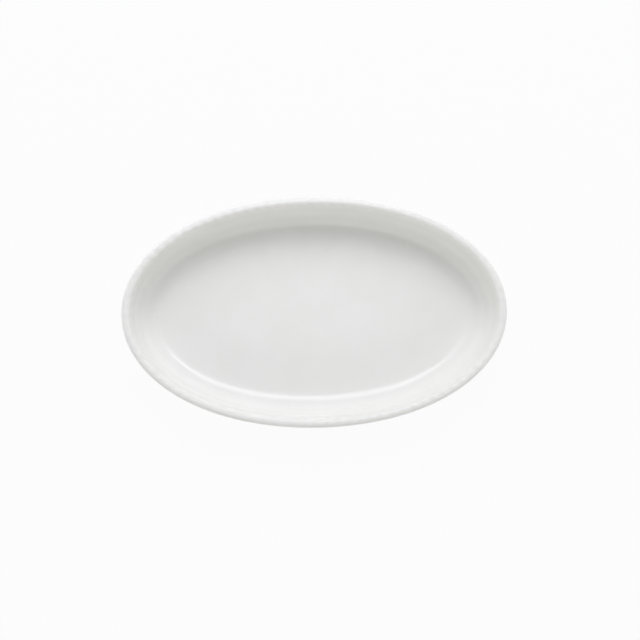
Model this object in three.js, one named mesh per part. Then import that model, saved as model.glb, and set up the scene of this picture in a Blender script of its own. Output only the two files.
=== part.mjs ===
// Oval gratin dish: a clay casting with a fluted lip and a bare foot ring, under a coat of white glaze.
// Millimetres, +Z up, +X along the length; the origin is the middle of the plane that the foot stands on.
import * as THREE from "three";
import { mergeVertices } from "three/addons/utils/BufferGeometryUtils.js";

// Overall size, over the glaze
const dishLength = 300;
const dishWidth = 180;
const dishHeight = 45;
const shoulderBulge = 1.1; // the oval stands this far outside a true ellipse on its diagonals

// Wall and floor, in clay, and the coves that join them
const wallThickness = 4;
const wallLean = 18.5; // degrees out of upright
const floorThickness = 4.2;
const innerCoveRadius = 17.5;
const outerCoveRadius = 20;

// Lip: the wall swells on both sides below a rounded top edge
const lipDepth = 7;
const lipRise = 2; // height over which the wall swells
const lipSwellOut = 0.8;
const lipSwellIn = 0.25;
const lipRadius = 2.6;
const fluteCount = 88;
const fluteDepth = 0.12;

// Foot ring, left bare where it stands
const footHeight = 1.6; // below the glazed underside
const footWidth = 5;
const footStep = 2.2; // flat underside between the outer cove and the foot
const footBevel = 0.5; // broken outer edge

// Glaze
const glazeThickness = 0.4;
const glazeLine = 1; // the coat is wiped off below this height
const wipedMargin = 1.2; // bare clay between the foot and the glaze inside it

// Facets of the round stretches
const innerCoveSteps = 4;
const outerCoveSteps = 3;
const lipSteps = 2;
const wallColumns = fluteCount;
const lipColumns = 2 * fluteCount; // a crest and a hollow for each flute

// Plan: the outermost oval, and ovals set in from it
class RimOval extends THREE.Curve {
  getPoint(t, target = new THREE.Vector2()) {
    const point = ovalPoint(2 * Math.PI * t, 0, 0);
    return target.set(point.x, point.y);
  }
}

function ovalPoint(angle, inset, height) {
  const bulge = shoulderBulge * Math.sin(2 * angle) ** 2;
  const x = (dishLength / 2 - inset + bulge) * Math.cos(angle);
  const y = (dishWidth / 2 - inset + bulge) * Math.sin(angle);
  return new THREE.Vector3(x, y, height);
}

// Columns stand at equal arc lengths along the rim, so that every flute is equally wide
function columnAngles() {
  const rim = new RimOval();
  rim.arcLengthDivisions = 10 * lipColumns;
  const angles = [];
  for (let column = 0; column < lipColumns; column += 1) {
    angles.push(2 * Math.PI * rim.getUtoTmapping(column / lipColumns));
  }
  return angles;
}

const angles = columnAngles();

// Section: points of inset and height, each with the direction out of the dish there.
// The path climbs the outside, crosses the lip and comes down inside, so that out is on its left.
function leftOf(direction) {
  return new THREE.Vector2(-direction.y, direction.x);
}

function sharpCorner(before, at, after) {
  const first = leftOf(at.clone().sub(before).normalize());
  const last = leftOf(after.clone().sub(at).normalize());
  const outward = first.clone().add(last).divideScalar(1 + first.dot(last));
  return [{ at, outward, fluteShare: 0 }];
}

function roundCorner(before, at, after, radius, steps) {
  const arriving = at.clone().sub(before).normalize();
  const leaving = after.clone().sub(at).normalize();
  const turn = Math.atan2(arriving.cross(leaving), arriving.dot(leaving));
  const tangentLength = radius * Math.tan(Math.abs(turn) / 2);
  const first = leftOf(arriving);
  const start = at.clone().addScaledVector(arriving, -tangentLength);
  const centre = start.clone().addScaledVector(first, Math.sign(turn) * radius);
  const samples = [];
  for (let step = 0; step <= steps; step += 1) {
    const outward = first.clone().rotateAround(new THREE.Vector2(), (turn * step) / steps);
    const point = centre.clone().addScaledVector(outward, -Math.sign(turn) * radius);
    samples.push({ at: point, outward, fluteShare: 0 });
  }
  return samples;
}

// Flutes fade out towards the outer edge, so that the outline of the rim stays smooth
function fluted(samples) {
  return samples.map((sample) => ({ ...sample, fluteShare: Math.min(1, 1 + sample.outward.x) }));
}

// Heights and insets of the section's corners, on the glaze
const lean = THREE.MathUtils.degToRad(wallLean);
const lipBottom = dishHeight - lipDepth;
const lipShoulder = lipBottom + lipRise;
const clayBase = footHeight + glazeThickness;
const floorTop = clayBase + floorThickness + glazeThickness;
const outerWallTop = lipSwellOut;
const innerWallTop = outerWallTop + (wallThickness + 2 * glazeThickness) / Math.cos(lean);
const lipWidth = innerWallTop + lipSwellIn;
const lipRounding = Math.min(lipRadius, lipWidth / 2 - glazeThickness);
const outerWallFoot = outerWallTop + (lipBottom - footHeight) * Math.tan(lean);
const innerWallFoot = innerWallTop + (lipBottom - floorTop) * Math.tan(lean);
const coveTurn = Math.PI / 2 - lean;
const footOuter = outerWallFoot + outerCoveRadius * Math.tan(coveTurn / 2) + footStep;
const clayFootOuter = footOuter + glazeThickness;
const clayFootInner = clayFootOuter + footWidth;
const baseGlazeEdge = clayFootInner + wipedMargin;

function glazeSection() {
  const start = new THREE.Vector2(footOuter, glazeLine);
  const footCorner = new THREE.Vector2(footOuter, footHeight);
  const outerCove = new THREE.Vector2(outerWallFoot, footHeight);
  const outerCrease = new THREE.Vector2(outerWallTop, lipBottom);
  const outerShoulder = new THREE.Vector2(0, lipShoulder);
  const outerTop = new THREE.Vector2(0, dishHeight);
  const innerTop = new THREE.Vector2(lipWidth, dishHeight);
  const innerShoulder = new THREE.Vector2(lipWidth, lipShoulder);
  const innerCrease = new THREE.Vector2(innerWallTop, lipBottom);
  const innerCove = new THREE.Vector2(innerWallFoot, floorTop);
  const floorMiddle = new THREE.Vector2(dishWidth / 2, floorTop);
  return [
    { at: start, outward: new THREE.Vector2(-1, 0), fluteShare: 0 },
    ...sharpCorner(start, footCorner, outerCove),
    ...roundCorner(footCorner, outerCove, outerCrease, outerCoveRadius, outerCoveSteps),
    ...sharpCorner(outerCove, outerCrease, outerShoulder),
    ...sharpCorner(outerCrease, outerShoulder, outerTop),
    ...fluted(roundCorner(outerShoulder, outerTop, innerTop, lipRounding, lipSteps)),
    ...fluted(roundCorner(outerTop, innerTop, innerShoulder, lipRounding, lipSteps)),
    ...sharpCorner(innerTop, innerShoulder, innerCrease),
    ...sharpCorner(innerShoulder, innerCrease, innerCove),
    ...roundCorner(innerCrease, innerCove, floorMiddle, innerCoveRadius, innerCoveSteps),
  ];
}

// Sweep: one ring of points for each section point, set under the surface by a given depth
function plainRing(inset, height) {
  const ring = [];
  for (let column = 0; column < lipColumns; column += lipColumns / wallColumns) {
    ring.push(ovalPoint(angles[column], inset, height));
  }
  return ring;
}

function flutedRing(sample, depth) {
  return angles.map((angle, column) => {
    const hollow = column % 2 === 0 ? 0 : fluteDepth * sample.fluteShare;
    const point = sample.at.clone().addScaledVector(sample.outward, -depth - hollow);
    return ovalPoint(angle, point.x, point.y);
  });
}

function sectionRing(sample, depth) {
  if (sample.fluteShare > 0) {
    return flutedRing(sample, depth);
  }
  const point = sample.at.clone().addScaledVector(sample.outward, -depth);
  return plainRing(point.x, point.y);
}

// Triangles between neighbouring rings, of equal length or with two columns on one to each on the other
function band(lower, upper) {
  const steps = Math.min(lower.length, upper.length);
  const triangles = [];
  for (let step = 0; step < steps; step += 1) {
    const next = (step + 1) % steps;
    const half = 2 * step + 1;
    if (lower.length === upper.length) {
      triangles.push([lower[step], lower[next], upper[next]]);
      triangles.push([lower[step], upper[next], upper[step]]);
    } else if (lower.length === steps) {
      triangles.push([lower[step], upper[half], upper[half - 1]]);
      triangles.push([lower[step], lower[next], upper[half]]);
      triangles.push([lower[next], upper[2 * next], upper[half]]);
    } else {
      triangles.push([lower[half - 1], lower[half], upper[step]]);
      triangles.push([lower[half], upper[next], upper[step]]);
      triangles.push([lower[half], lower[2 * next], upper[next]]);
    }
  }
  return triangles;
}

function bands(rings) {
  return rings.slice(1).flatMap((ring, index) => band(rings[index], ring));
}

// A flat field from a ring to its middle, facing up
function field(ring) {
  const middle = new THREE.Vector3(0, 0, ring[0].z);
  return ring.map((point, index) => [point, ring[(index + 1) % ring.length], middle]);
}

function flipped(triangles) {
  return triangles.map(([first, second, third]) => [first, third, second]);
}

function namedMesh(name, triangles, colour, roughness) {
  const soup = new THREE.BufferGeometry().setFromPoints(triangles.flat());
  const geometry = mergeVertices(soup);
  geometry.computeVertexNormals();
  const material = new THREE.MeshStandardMaterial({ color: colour, roughness, metalness: 0 });
  const mesh = new THREE.Mesh(geometry, material);
  mesh.name = name;
  return mesh;
}

// The face where clay and glaze meet belongs to both, with the same facets
const section = glazeSection();
const glazeRings = section.map((sample) => sectionRing(sample, 0));
const clayRings = section.map((sample) => sectionRing(sample, glazeThickness));
const glazeFace = [...bands(glazeRings), ...field(glazeRings.at(-1))];
const clayFace = [...bands(clayRings), ...field(clayRings.at(-1))];
const baseEdge = plainRing(baseGlazeEdge, clayBase);

function dishBody() {
  const foot = [
    baseEdge,
    plainRing(clayFootInner, clayBase),
    plainRing(clayFootInner, 0),
    plainRing(clayFootOuter + footBevel, 0),
    plainRing(clayFootOuter, footBevel),
    clayRings[0],
  ];
  const triangles = [...flipped(field(baseEdge)), ...bands(foot), ...clayFace];
  return namedMesh("dish_body", triangles, 0xe6e0d2, 0.9);
}

function glazeCoat() {
  const wipedEdge = band(clayRings[0], glazeRings[0]);
  const triangles = [...glazeFace, ...flipped(clayFace), ...wipedEdge];
  return namedMesh("glaze_coat", triangles, 0xf0f0ec, 0.12);
}

function baseGlaze() {
  const lowerEdge = plainRing(baseGlazeEdge, footHeight);
  const triangles = [...field(baseEdge), ...flipped(field(lowerEdge)), ...band(lowerEdge, baseEdge)];
  return namedMesh("base_glaze", triangles, 0xecece6, 0.2);
}

const dish = new THREE.Group();
dish.name = "oval_gratin_dish";
dish.add(dishBody(), glazeCoat(), baseGlaze());

export default dish;
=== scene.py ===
import math

import bpy
from mathutils import Matrix, Vector


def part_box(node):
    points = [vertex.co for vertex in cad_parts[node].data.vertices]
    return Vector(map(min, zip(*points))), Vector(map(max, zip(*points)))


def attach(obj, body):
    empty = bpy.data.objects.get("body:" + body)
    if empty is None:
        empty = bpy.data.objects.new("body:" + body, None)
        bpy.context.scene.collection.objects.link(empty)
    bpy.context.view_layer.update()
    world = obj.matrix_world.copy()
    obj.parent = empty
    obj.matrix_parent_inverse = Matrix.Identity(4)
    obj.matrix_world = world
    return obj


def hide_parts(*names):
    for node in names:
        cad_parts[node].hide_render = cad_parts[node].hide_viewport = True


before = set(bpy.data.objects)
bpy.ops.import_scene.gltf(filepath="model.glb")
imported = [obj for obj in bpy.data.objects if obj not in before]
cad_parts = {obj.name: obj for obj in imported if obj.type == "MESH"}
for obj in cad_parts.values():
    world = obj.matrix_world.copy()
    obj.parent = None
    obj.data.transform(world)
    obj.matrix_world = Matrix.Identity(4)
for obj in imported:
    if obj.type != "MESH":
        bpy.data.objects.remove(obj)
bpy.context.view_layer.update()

# Sizes in metres: the overall ones from the frame, the rest as in the CAD but for the lip and small edges
MM = 0.001
COAT_LOW, COAT_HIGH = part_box("glaze_coat")
HALF_LENGTH = (COAT_HIGH.x - COAT_LOW.x) / 2
HALF_WIDTH = (COAT_HIGH.y - COAT_LOW.y) / 2
HEIGHT = COAT_HIGH.z
SHOULDER_BULGE = 1.1 * MM  # the oval stands this far outside a true ellipse on its diagonals

# Wall and floor, in clay, and the coves that join them
WALL_THICKNESS = 4 * MM
WALL_LEAN = math.radians(18.5)  # out of upright
FLOOR_THICKNESS = 4.2 * MM
INNER_COVE_RADIUS = 17.5 * MM
OUTER_COVE_RADIUS = 20 * MM

# Lip: softer than the CAD's, with deeper flutes and an inner side that runs far down into the wall
LIP_DEPTH = 7 * MM
LIP_RISE = 2 * MM  # height over which the wall swells on the outside
LIP_SWELL_OUT = 0.8 * MM
LIP_BLEND = 2.5 * MM  # radius of the creases under the outer roll
LIP_OUTER_ROLL = 3.3 * MM
LIP_INNER_ROLL = 2.6 * MM
LIP_SETBACK = 0.1 * MM  # how far the top's inner corner lies outside the wall's inner face under the lip
LIP_INNER_FOOT = 28.5 * MM  # height at which the lip's inner side has come down to the wall
LIP_INNER_BLEND = 50 * MM
FLUTE_COUNT = 88
FLUTE_DEPTH = 0.3 * MM

# Foot ring, left bare where it stands
FOOT_HEIGHT = 1.6 * MM  # below the glazed underside
FOOT_WIDTH = 5 * MM
FOOT_STEP = 2.2 * MM  # flat underside between the outer cove and the foot
FOOT_BEVEL = 0.5 * MM  # broken outer edge
FOOT_EDGE = 0.4 * MM  # rounded inner edge
FOOT_ROOT = 0.4 * MM  # hollow between the foot and the underside
FOOT_FILLET = 0.5 * MM  # where the glaze turns down the foot

# Glaze, wiped off the foot by hand, so that its edges wander
GLAZE_THICKNESS = 0.4 * MM
GLAZE_LINE = 1 * MM
GLAZE_LINE_WANDER = 0.1 * MM
WIPED_MARGIN = 1.2 * MM
BASE_GLAZE_WANDER = 0.45 * MM
# Lower edge of the coat: a share of the glaze's thickness under its surface, and a drop below the line
COAT_EDGE = ((1, 0.15 * MM), (0.4, 0.14 * MM), (0.1, 0.12 * MM))
# Rounded edge of the base glaze: a distance in from its border, and a rise over its lower face
BASE_GLAZE_ROUNDING = ((0.9 * MM, 0), (0.25 * MM, 0.08 * MM), (0, 0.22 * MM))

# Fineness of the meshes
COLUMNS_PER_FLUTE = 8
COLUMNS = FLUTE_COUNT * COLUMNS_PER_FLUTE
SAMPLES_PER_COLUMN = 20
ARC_STEP = math.radians(4)
LEAST_ARC_STEPS = 6
STRAIGHT_STEP = 2.5 * MM
FLOOR_RINGS = 14

# Heights and insets of the section's corners, on the glaze
LIP_BOTTOM = HEIGHT - LIP_DEPTH
LIP_SHOULDER = LIP_BOTTOM + LIP_RISE
CLAY_BASE = FOOT_HEIGHT + GLAZE_THICKNESS
FLOOR_TOP = CLAY_BASE + FLOOR_THICKNESS + GLAZE_THICKNESS
OUTER_WALL_TOP = LIP_SWELL_OUT
INNER_WALL_TOP = OUTER_WALL_TOP + (WALL_THICKNESS + 2 * GLAZE_THICKNESS) / math.cos(WALL_LEAN)
LIP_WIDTH = INNER_WALL_TOP - LIP_SETBACK
OUTER_WALL_FOOT = OUTER_WALL_TOP + (LIP_BOTTOM - FOOT_HEIGHT) * math.tan(WALL_LEAN)
INNER_WALL_FOOT = INNER_WALL_TOP + (LIP_BOTTOM - FLOOR_TOP) * math.tan(WALL_LEAN)
INNER_LIP_END = INNER_WALL_TOP + (LIP_BOTTOM - LIP_INNER_FOOT) * math.tan(WALL_LEAN)
COVE_TURN = math.pi / 2 - WALL_LEAN
FOOT_OUTER = OUTER_WALL_FOOT + OUTER_COVE_RADIUS * math.tan(COVE_TURN / 2) + FOOT_STEP
CLAY_FOOT_OUTER = FOOT_OUTER + GLAZE_THICKNESS
CLAY_FOOT_INNER = CLAY_FOOT_OUTER + FOOT_WIDTH
BASE_GLAZE_EDGE = CLAY_FOOT_INNER + WIPED_MARGIN


# Plan: the outermost oval, and ovals set in from it
def oval_point(angle, inset, height):
    bulge = SHOULDER_BULGE * math.sin(2 * angle) ** 2
    x = (HALF_LENGTH - inset + bulge) * math.cos(angle)
    y = (HALF_WIDTH - inset + bulge) * math.sin(angle)
    return Vector((x, y, height))


def equal_arc_angles(count):
    """Angles at equal arc lengths along the outermost oval, so that every flute is equally wide."""
    fine = SAMPLES_PER_COLUMN * count
    angles = [2 * math.pi * i / fine for i in range(fine + 1)]
    points = [oval_point(a, 0, 0) for a in angles]
    lengths = [0.0]
    for before, after in zip(points, points[1:]):
        lengths.append(lengths[-1] + (after - before).length)
    spaced = []
    index = 0
    for i in range(count):
        wanted = lengths[-1] * i / count
        while lengths[index + 1] <= wanted:
            index += 1
        share = (wanted - lengths[index]) / (lengths[index + 1] - lengths[index])
        spaced.append(angles[index] + share * (angles[index + 1] - angles[index]))
    return spaced


ANGLES = equal_arc_angles(COLUMNS)


# Section: points of inset and height, each with the direction out of the surface there
def round_corner(before, at, after, radius):
    """An arc of the given radius between two straight stretches, as (point, outward) pairs."""
    arriving = (at - before).normalized()
    leaving = (after - at).normalized()
    turn = math.atan2(arriving.x * leaving.y - arriving.y * leaving.x, arriving.dot(leaving))
    side = math.copysign(1, turn)
    first = Vector((-arriving.y, arriving.x))
    start = at - arriving * radius * math.tan(abs(turn) / 2)
    centre = start + first * side * radius
    steps = max(LEAST_ARC_STEPS, math.ceil(abs(turn) / ARC_STEP))
    samples = []
    for step in range(steps + 1):
        outward = Matrix.Rotation(turn * step / steps, 2) @ first
        samples.append((centre - outward * side * radius, outward))
    return samples


def rounded_path(corners):
    """A path of (inset, height, radius) corners, rounded, with straight stretches cut into short steps.

    The last corner only gives the direction, and the path ends where the arc before it does.
    """
    points = [Vector(corner[:2]) for corner in corners]
    along = (points[1] - points[0]).normalized()
    samples = [(points[0], Vector((-along.y, along.x)))]
    for i in range(1, len(points) - 1):
        samples += round_corner(points[i - 1], points[i], points[i + 1], corners[i][2])
    path = [samples[0]]
    for point, outward in samples[1:]:
        start, start_outward = path[-1]
        gap = point - start
        pieces = max(1, math.ceil(gap.length / STRAIGHT_STEP))
        for k in range(1, pieces):
            path.append((start + gap * k / pieces, start_outward))
        path.append((point, outward))
    return path


def glaze_path():
    """The glaze from its wiped line up the outside, over the lip, down inside and to the floor's edge."""
    return rounded_path([
        (FOOT_OUTER, GLAZE_LINE, 0),
        (FOOT_OUTER, FOOT_HEIGHT, FOOT_FILLET),
        (OUTER_WALL_FOOT, FOOT_HEIGHT, OUTER_COVE_RADIUS),
        (OUTER_WALL_TOP, LIP_BOTTOM, LIP_BLEND),
        (0, LIP_SHOULDER, LIP_BLEND),
        (0, HEIGHT, LIP_OUTER_ROLL),
        (LIP_WIDTH, HEIGHT, LIP_INNER_ROLL),
        (INNER_LIP_END, LIP_INNER_FOOT, LIP_INNER_BLEND),
        (INNER_WALL_FOOT, FLOOR_TOP, INNER_COVE_RADIUS),
        (HALF_WIDTH, FLOOR_TOP, 0),
    ])


def flute_share(point, outward):
    """Full across the top of the lip, fading out to its outer edge and down its inner side."""
    if point.y < LIP_SHOULDER:
        return 0.0
    if outward.x <= 0:
        return 1 + outward.x
    roll_end = HEIGHT - LIP_INNER_ROLL
    drop = (roll_end - point.y) / (roll_end - LIP_SHOULDER)
    return min(1.0, max(0.0, 1 - drop))


# Sweep and mesh
def swept_ring(point, outward, depth):
    """One ring of the sweep, at a depth under the glaze's surface."""
    share = flute_share(point, outward)
    ring = []
    for column, angle in enumerate(ANGLES):
        wave = (1 - math.cos(2 * math.pi * column / COLUMNS_PER_FLUTE)) / 2
        sunk = point - outward * (depth + FLUTE_DEPTH * share * wave)
        ring.append(oval_point(angle, sunk.x, sunk.y))
    return ring


def plain_ring(inset, height):
    return [oval_point(angle, inset, height) for angle in ANGLES]


def shrunk_rings(ring):
    """Rings from an oval to its middle, each a smaller copy."""
    rings = []
    for k in range(1, FLOOR_RINGS):
        size = 1 - k / FLOOR_RINGS
        rings.append([Vector((p.x * size, p.y * size, p.z)) for p in ring])
    return rings


def ring_mesh(name, rings):
    """A closed mesh from rings that start and end at a pole in the middle of the dish."""
    verts = [Vector((0, 0, rings[0][0].z))]
    for ring in rings:
        verts += ring
    verts.append(Vector((0, 0, rings[-1][0].z)))
    last = len(verts) - 1
    top = 1 + (len(rings) - 1) * COLUMNS
    faces = []
    for column in range(COLUMNS):
        after = (column + 1) % COLUMNS
        faces.append((0, 1 + after, 1 + column))
        for level in range(len(rings) - 1):
            low = 1 + level * COLUMNS
            high = low + COLUMNS
            faces.append((low + column, low + after, high + after, high + column))
        faces.append((top + column, top + after, last))
    mesh = bpy.data.meshes.new(name)
    mesh.from_pydata(verts, [], faces)
    mesh.shade_smooth()
    piece = bpy.data.objects.new(name, mesh)
    bpy.context.scene.collection.objects.link(piece)
    return piece


# Pieces
def coat_rings(depth):
    """Rings from the wiped line over the lip to the middle of the floor, at a depth under the glaze."""
    rings = [swept_ring(point, outward, depth) for point, outward in glaze_path()]
    return rings + shrunk_rings(rings[-1])


def wander(angle, phase):
    """A slow irregular wave round the foot, from -1 to 1, as a sponge leaves it."""
    slow = math.sin(5 * angle + phase)
    middle = 0.6 * math.sin(11 * angle + 2.3 * phase)
    quick = 0.4 * math.sin(23 * angle + 0.7 * phase)
    return (slow + middle + quick) / 2


def make_glaze_coat():
    def wiped_ring(inset, height):
        return [oval_point(a, inset, height + GLAZE_LINE_WANDER * wander(a, phase=1.0)) for a in ANGLES]

    surface = coat_rings(0)
    backing = coat_rings(GLAZE_THICKNESS)
    edge = [wiped_ring(FOOT_OUTER + share * GLAZE_THICKNESS, GLAZE_LINE - drop) for share, drop in COAT_EDGE]
    return ring_mesh("glaze_coat_skin", backing[::-1] + edge + surface[1:])


def make_dish_body():
    """The clay under the coat, with its foot and the underside."""
    bottom = [
        (CLAY_FOOT_INNER + 1.5 * FOOT_ROOT, CLAY_BASE),
        (CLAY_FOOT_INNER + 0.5 * FOOT_ROOT, CLAY_BASE - 0.25 * FOOT_ROOT),
        (CLAY_FOOT_INNER, CLAY_BASE - FOOT_ROOT),
        (CLAY_FOOT_INNER, 0.875 * FOOT_EDGE),
        (CLAY_FOOT_INNER - 0.3 * FOOT_EDGE, 0.25 * FOOT_EDGE),
        (CLAY_FOOT_INNER - FOOT_EDGE, 0),
        (CLAY_FOOT_OUTER + FOOT_BEVEL, 0),
        (CLAY_FOOT_OUTER + 0.3 * FOOT_BEVEL, 0.3 * FOOT_BEVEL),
        (CLAY_FOOT_OUTER, FOOT_BEVEL),
    ]
    foot = [plain_ring(inset, height) for inset, height in bottom]
    underside = shrunk_rings(foot[0])[::-1]
    return ring_mesh("dish_body_clay", underside + foot + coat_rings(GLAZE_THICKNESS))


def make_base_glaze():
    """The field of glaze inside the foot, rounded off to an uneven edge."""
    def uneven_ring(inset, height):
        return [oval_point(a, inset + BASE_GLAZE_WANDER * wander(a, phase=4.0), height) for a in ANGLES]

    edge = [uneven_ring(BASE_GLAZE_EDGE + inset, FOOT_HEIGHT + rise) for inset, rise in BASE_GLAZE_ROUNDING]
    edge.append(uneven_ring(BASE_GLAZE_EDGE, CLAY_BASE))
    lower_field = shrunk_rings(edge[0])[::-1]
    upper_field = shrunk_rings(edge[-1])
    return ring_mesh("base_glaze_field", lower_field + edge + upper_field)


# Finishes
GLAZE_IOR = 1.8
SPOT_CORE = 0.4  # share of a spot's radius at full strength
THIN_GLAZE_FROM = HEIGHT - 6.5 * MM  # the glaze runs thinner between these heights
THIN_GLAZE_TO = HEIGHT - 1.5 * MM


def new_material(name):
    material = bpy.data.materials.new(name)
    material.use_nodes = True
    tree = material.node_tree
    return material, tree, tree.nodes["Principled BSDF"]


def remapped(tree, value, low, high, to_low, to_high):
    node = tree.nodes.new("ShaderNodeMapRange")
    node.interpolation_type = "SMOOTHSTEP"
    for socket, number in zip(list(node.inputs)[1:5], (low, high, to_low, to_high)):
        socket.default_value = number
    tree.links.new(value, node.inputs[0])
    return node.outputs[0]


def combined(tree, operation, first, second):
    """A Math node of two outputs."""
    node = tree.nodes.new("ShaderNodeMath")
    node.operation = operation
    tree.links.new(first, node.inputs[0])
    tree.links.new(second, node.inputs[1])
    return node.outputs[0]


def noise(tree, scale, detail, roughness=0.5):
    """A noise in object space, as a factor from 0 to 1."""
    place = tree.nodes.new("ShaderNodeTexCoord")
    node = tree.nodes.new("ShaderNodeTexNoise")
    node.inputs["Scale"].default_value = scale
    node.inputs["Detail"].default_value = detail
    node.inputs["Roughness"].default_value = roughness
    tree.links.new(place.outputs["Object"], node.inputs["Vector"])
    return node.outputs["Fac"]


def spots(tree, scale, radius, share):
    """Sparse round spots: 1 inside a spot, with only a share of the cells holding one."""
    place = tree.nodes.new("ShaderNodeTexCoord")
    cells = tree.nodes.new("ShaderNodeTexVoronoi")
    cells.inputs["Scale"].default_value = scale
    tree.links.new(place.outputs["Object"], cells.inputs["Vector"])
    inside = remapped(tree, cells.outputs["Distance"], radius, radius * SPOT_CORE, 0, 1)
    split = tree.nodes.new("ShaderNodeSeparateColor")
    tree.links.new(cells.outputs["Color"], split.inputs["Color"])
    chosen = tree.nodes.new("ShaderNodeMath")
    chosen.operation = "LESS_THAN"
    chosen.inputs[1].default_value = share
    tree.links.new(split.outputs["Red"], chosen.inputs[0])
    return combined(tree, "MULTIPLY", inside, chosen.outputs[0])


def height_factor(tree, low, high):
    """0 below the lower height and 1 above the upper one, in metres over the standing plane."""
    place = tree.nodes.new("ShaderNodeTexCoord")
    split = tree.nodes.new("ShaderNodeSeparateXYZ")
    tree.links.new(place.outputs["Object"], split.inputs[0])
    return remapped(tree, split.outputs["Z"], low, high, 0, 1)


def blended(tree, factor, first, second):
    """A colour between two, each a tuple or the output of an earlier blend."""
    node = tree.nodes.new("ShaderNodeMix")
    node.data_type = "RGBA"
    tree.links.new(factor, node.inputs["Factor"])
    for socket, colour in ((node.inputs[6], first), (node.inputs[7], second)):
        if isinstance(colour, tuple):
            socket.default_value = (*colour, 1)
        else:
            tree.links.new(colour, socket)
    return node.outputs[2]


def bumped(tree, shader, layers):
    """Stacks bump layers of (height, strength, depth in metres) onto the shader's normal."""
    normal = None
    for height, strength, depth in layers:
        node = tree.nodes.new("ShaderNodeBump")
        node.inputs["Strength"].default_value = strength
        node.inputs["Distance"].default_value = depth
        tree.links.new(height, node.inputs["Height"])
        if normal is not None:
            tree.links.new(normal, node.inputs["Normal"])
        normal = node.outputs["Normal"]
    tree.links.new(normal, shader.inputs["Normal"])


def white_glaze():
    """Glossy opaque white with faint clouds, specks and pits, a little warmer on the lip."""
    material, tree, shader = new_material("white_glaze")
    mottle = remapped(tree, noise(tree, 45, 3), 0.35, 0.65, 0, 1)
    colour = blended(tree, mottle, (0.862, 0.862, 0.824), (0.876, 0.876, 0.842))
    cloud = remapped(tree, noise(tree, 11, 2), 0.4, 0.7, 0, 0.5)
    colour = blended(tree, cloud, colour, (0.868, 0.866, 0.822))
    patches = remapped(tree, noise(tree, 160, 4), 0.3, 0.7, 0.2, 0.7)
    thin = combined(tree, "MULTIPLY", height_factor(tree, THIN_GLAZE_FROM, THIN_GLAZE_TO), patches)
    colour = blended(tree, thin, colour, (0.858, 0.855, 0.814))
    specks = spots(tree, 95, 0.05, 0.12)
    colour = blended(tree, specks, colour, (0.76, 0.735, 0.67))
    tree.links.new(colour, shader.inputs["Base Color"])
    gloss = remapped(tree, noise(tree, 70, 4), 0.3, 0.7, 0.035, 0.075)
    tree.links.new(gloss, shader.inputs["Roughness"])
    shader.inputs["IOR"].default_value = GLAZE_IOR
    bumped(tree, shader, (
        (noise(tree, 38, 1), 0.10, 0.9 * MM),
        (noise(tree, 330, 2), 0.05, 0.2 * MM),
        (spots(tree, 150, 0.045, 0.06), -0.30, 0.2 * MM),
    ))
    return material


def bare_clay():
    """Fired buff clay, matt and grainy, with fine dark and pale grains and a few open pores."""
    material, tree, shader = new_material("bare_clay")
    body = remapped(tree, noise(tree, 60, 5, 0.6), 0.3, 0.7, 0, 1)
    colour = blended(tree, body, (0.71, 0.655, 0.555), (0.80, 0.755, 0.66))
    grain = remapped(tree, noise(tree, 900, 3, 0.7), 0.35, 0.65, 0, 0.7)
    colour = blended(tree, grain, colour, (0.845, 0.81, 0.73))
    colour = blended(tree, spots(tree, 420, 0.16, 0.25), colour, (0.47, 0.395, 0.30))
    colour = blended(tree, spots(tree, 300, 0.12, 0.15), colour, (0.90, 0.88, 0.83))
    tree.links.new(colour, shader.inputs["Base Color"])
    dryness = remapped(tree, noise(tree, 250, 3), 0.3, 0.7, 0.78, 0.95)
    tree.links.new(dryness, shader.inputs["Roughness"])
    shader.inputs["Specular IOR Level"].default_value = 0.3
    bumped(tree, shader, (
        (noise(tree, 700, 4, 0.7), 0.35, 0.3 * MM),
        (spots(tree, 520, 0.2, 0.12), -0.5, 0.3 * MM),
    ))
    return material


def thin_base_glaze():
    """The thinner glaze inside the foot ring, with the warm clay showing through in clouds."""
    material, tree, shader = new_material("thin_base_glaze")
    cloud = remapped(tree, noise(tree, 22, 4, 0.6), 0.35, 0.68, 0, 1)
    colour = blended(tree, cloud, (0.845, 0.84, 0.80), (0.815, 0.80, 0.745))
    streaks = remapped(tree, noise(tree, 130, 3), 0.4, 0.7, 0, 0.5)
    colour = blended(tree, streaks, colour, (0.862, 0.858, 0.825))
    colour = blended(tree, spots(tree, 120, 0.06, 0.2), colour, (0.62, 0.575, 0.49))
    tree.links.new(colour, shader.inputs["Base Color"])
    gloss = remapped(tree, noise(tree, 90, 4), 0.3, 0.7, 0.09, 0.2)
    tree.links.new(gloss, shader.inputs["Roughness"])
    shader.inputs["IOR"].default_value = GLAZE_IOR
    bumped(tree, shader, (
        (noise(tree, 60, 2), 0.15, 0.8 * MM),
        (noise(tree, 420, 2), 0.10, 0.2 * MM),
        (spots(tree, 210, 0.07, 0.15), -0.4, 0.3 * MM),
    ))
    return material


def dress(piece, node, material):
    """Gives a piece its material and puts it in the place of its CAD node."""
    piece.data.materials.append(material)
    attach(piece, "root")
    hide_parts(node)


# Studio
LIGHT_COLOUR = (0.985, 0.985, 1.04)
FRONT_LIGHT_COLOUR = (0.99, 0.99, 0.975)
ROOM_LEVEL = 0.138

# A round sheet of paper, a hair below the foot
PAPER_COLOUR = (0.55, 0.55, 0.55)
PAPER_WHITE = 0.95  # share of plain white where the camera or a reflection sees the paper
PAPER_REACH = 12.0
PAPER_CURVE = 1.0
PAPER_HEIGHT = 2.0
PAPER_GAP = 0.02 * MM
PAPER_SIDES = 96
PAPER_CURVE_STEPS = 6

# A softbox that hangs level above and behind the dish, dimmer at its far end
SOFTBOX_HEIGHT = 1.0
SOFTBOX_SIDES = (-0.18, 0.31)
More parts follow.
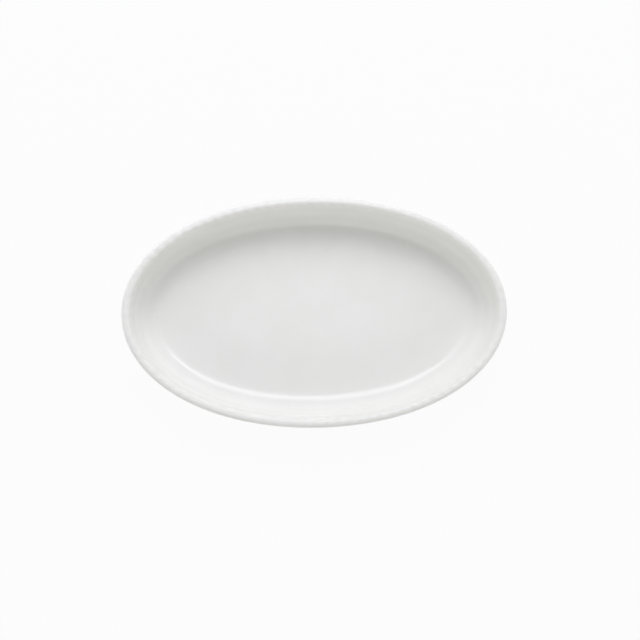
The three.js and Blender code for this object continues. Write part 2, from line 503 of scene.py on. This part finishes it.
# Each strip of the softbox has a near and a far edge, in metres behind the dish, and a radiance
SOFTBOX_STRIPS = (
    (0.33, 0.40, 1.30),
    (0.40, 0.62, 1.35),
    (0.62, 0.90, 1.26),
    (0.90, 1.22, 0.48),
)

FILL_DISTANCE = 1.5
FILL_SIZE = (1.1, 1.1)
# Each fill has a tilt from upright and an azimuth from +X, in degrees, a radiance and a colour
FILLS = (
    (30, 90, 2.25, LIGHT_COLOUR),
    (45, 90, 2.24, LIGHT_COLOUR),
    (60, 30, 0.18, LIGHT_COLOUR),
    (75, 20, 1.08, LIGHT_COLOUR),
    (75, 160, 1.32, LIGHT_COLOUR),
    (72, 270, 1.38, FRONT_LIGHT_COLOUR),
    (70, 320, 1.13, FRONT_LIGHT_COLOUR),
    (70, 220, 1.16, FRONT_LIGHT_COLOUR),
)


def paper_mesh():
    """A round sheet of paper under the dish that curves up to an upright rim far away."""
    profile = [(PAPER_REACH - PAPER_CURVE, 0)]
    for step in range(1, PAPER_CURVE_STEPS + 1):
        turn = math.pi / 2 * step / PAPER_CURVE_STEPS
        radius = PAPER_REACH - PAPER_CURVE * (1 - math.sin(turn))
        profile.append((radius, PAPER_CURVE * (1 - math.cos(turn))))
    profile.append((PAPER_REACH, PAPER_HEIGHT))
    verts = []
    for radius, height in profile:
        for side in range(PAPER_SIDES):
            turn = 2 * math.pi * side / PAPER_SIDES
            verts.append((radius * math.cos(turn), radius * math.sin(turn), height - PAPER_GAP))
    faces = [tuple(range(PAPER_SIDES))]
    for level in range(len(profile) - 1):
        low = level * PAPER_SIDES
        high = low + PAPER_SIDES
        for side in range(PAPER_SIDES):
            after = (side + 1) % PAPER_SIDES
            faces.append((low + side, low + after, high + after, high + side))
    mesh = bpy.data.meshes.new("studio_floor")
    mesh.from_pydata(verts, [], faces)
    return mesh


def paper_material():
    """Pale paper that is white to the camera and in reflections, and still takes a part of the shadow."""
    material = bpy.data.materials.new("studio_floor")
    material.use_nodes = True
    tree = material.node_tree
    tree.nodes.clear()
    path = tree.nodes.new("ShaderNodeLightPath")
    seen = path.outputs["Is Camera Ray"]
    for name in ("Is Glossy Ray", "Is Transmission Ray"):
        seen = combined(tree, "MAXIMUM", seen, path.outputs[name])
    share = tree.nodes.new("ShaderNodeMath")
    share.operation = "MULTIPLY"
    share.inputs[1].default_value = PAPER_WHITE
    tree.links.new(seen, share.inputs[0])
    paper = tree.nodes.new("ShaderNodeBsdfDiffuse")
    paper.inputs["Color"].default_value = (*PAPER_COLOUR, 1)
    white = tree.nodes.new("ShaderNodeEmission")
    white.inputs["Strength"].default_value = 1
    mix = tree.nodes.new("ShaderNodeMixShader")
    tree.links.new(share.outputs[0], mix.inputs[0])
    tree.links.new(paper.outputs[0], mix.inputs[1])
    tree.links.new(white.outputs[0], mix.inputs[2])
    output = tree.nodes.new("ShaderNodeOutputMaterial")
    tree.links.new(mix.outputs[0], output.inputs[0])
    return material


def make_floor():
    mesh = paper_mesh()
    mesh.materials.append(paper_material())
    floor = bpy.data.objects.new("studio_floor", mesh)
    bpy.context.scene.collection.objects.link(floor)


def area_lamp(name, place, aim, size, radiance, colour):
    lamp = bpy.data.lights.new(name, "AREA")
    lamp.shape = "RECTANGLE"
    lamp.size, lamp.size_y = size
    lamp.color = colour
    lamp.energy = radiance * math.pi * size[0] * size[1]
    holder = bpy.data.objects.new(name, lamp)
    holder.location = place
    holder.rotation_euler = Vector(aim).to_track_quat("-Z", "Y").to_euler()
    bpy.context.scene.collection.objects.link(holder)
    return holder


def make_softbox(near, far, radiance):
    """A level strip of the softbox above and behind the dish. Its edges show in the front cove."""
    left, right = SOFTBOX_SIDES
    place = ((left + right) / 2, (near + far) / 2, SOFTBOX_HEIGHT)
    area_lamp("softbox", place, (0, 0, -1), (right - left, far - near), radiance, LIGHT_COLOUR)


def make_fill(tilt, azimuth, radiance, colour):
    """A large soft fill that lights the dish without showing in its gloss."""
    slope = math.radians(tilt)
    turn = math.radians(azimuth)
    reach = math.sin(slope)
    towards = Vector((reach * math.cos(turn), reach * math.sin(turn), math.cos(slope)))
    fill = area_lamp("fill", towards * FILL_DISTANCE, -towards, FILL_SIZE, radiance, colour)
    fill.visible_glossy = False


def make_room():
    """A plain dim room all round."""
    world = bpy.data.worlds.new("studio")
    world.use_nodes = True
    background = world.node_tree.nodes["Background"]
    background.inputs["Color"].default_value = (*LIGHT_COLOUR, 1)
    background.inputs["Strength"].default_value = ROOM_LEVEL
    bpy.context.scene.world = world


# Camera
CAMERA_FROM_RIM = Vector((-0.05, -0.097, 1.045))
CAMERA_ROLL = math.radians(-1.1)
PIXELS_PER_METRE = 1290.3  # at the rim
FRAME_PIXELS = 640
SENSOR = 36.0
RIM_CENTRE_PIXEL = (315.63, 311.26)


def make_camera():
    """Looks at the middle of the rim, set off so that the rim's centre lands where the photo has it."""
    data = bpy.data.cameras.new("camera")
    data.sensor_width = SENSOR
    data.lens = PIXELS_PER_METRE * CAMERA_FROM_RIM.length * SENSOR / FRAME_PIXELS
    camera = bpy.data.objects.new("camera", data)
    back = CAMERA_FROM_RIM.normalized()
    right = Vector((0, 1, 0)).cross(back).normalized()
    up = back.cross(right)
    turn = Matrix((right, up, back)).transposed() @ Matrix.Rotation(CAMERA_ROLL, 3, "Z")
    half = FRAME_PIXELS / 2
    across = (half - RIM_CENTRE_PIXEL[0]) / PIXELS_PER_METRE
    along = (RIM_CENTRE_PIXEL[1] - half) / PIXELS_PER_METRE
    place = Vector((0, 0, HEIGHT)) + CAMERA_FROM_RIM + turn.col[0] * across + turn.col[1] * along
    camera.matrix_world = Matrix.Translation(place) @ turn.to_4x4()
    bpy.context.scene.collection.objects.link(camera)
    bpy.context.scene.camera = camera


bpy.context.scene.view_settings.view_transform = "Standard"
dress(make_glaze_coat(), "glaze_coat", white_glaze())
dress(make_dish_body(), "dish_body", bare_clay())
dress(make_base_glaze(), "base_glaze", thin_base_glaze())
make_floor()
make_room()
for strip in SOFTBOX_STRIPS:
    make_softbox(*strip)
for fill in FILLS:
    make_fill(*fill)
make_camera()
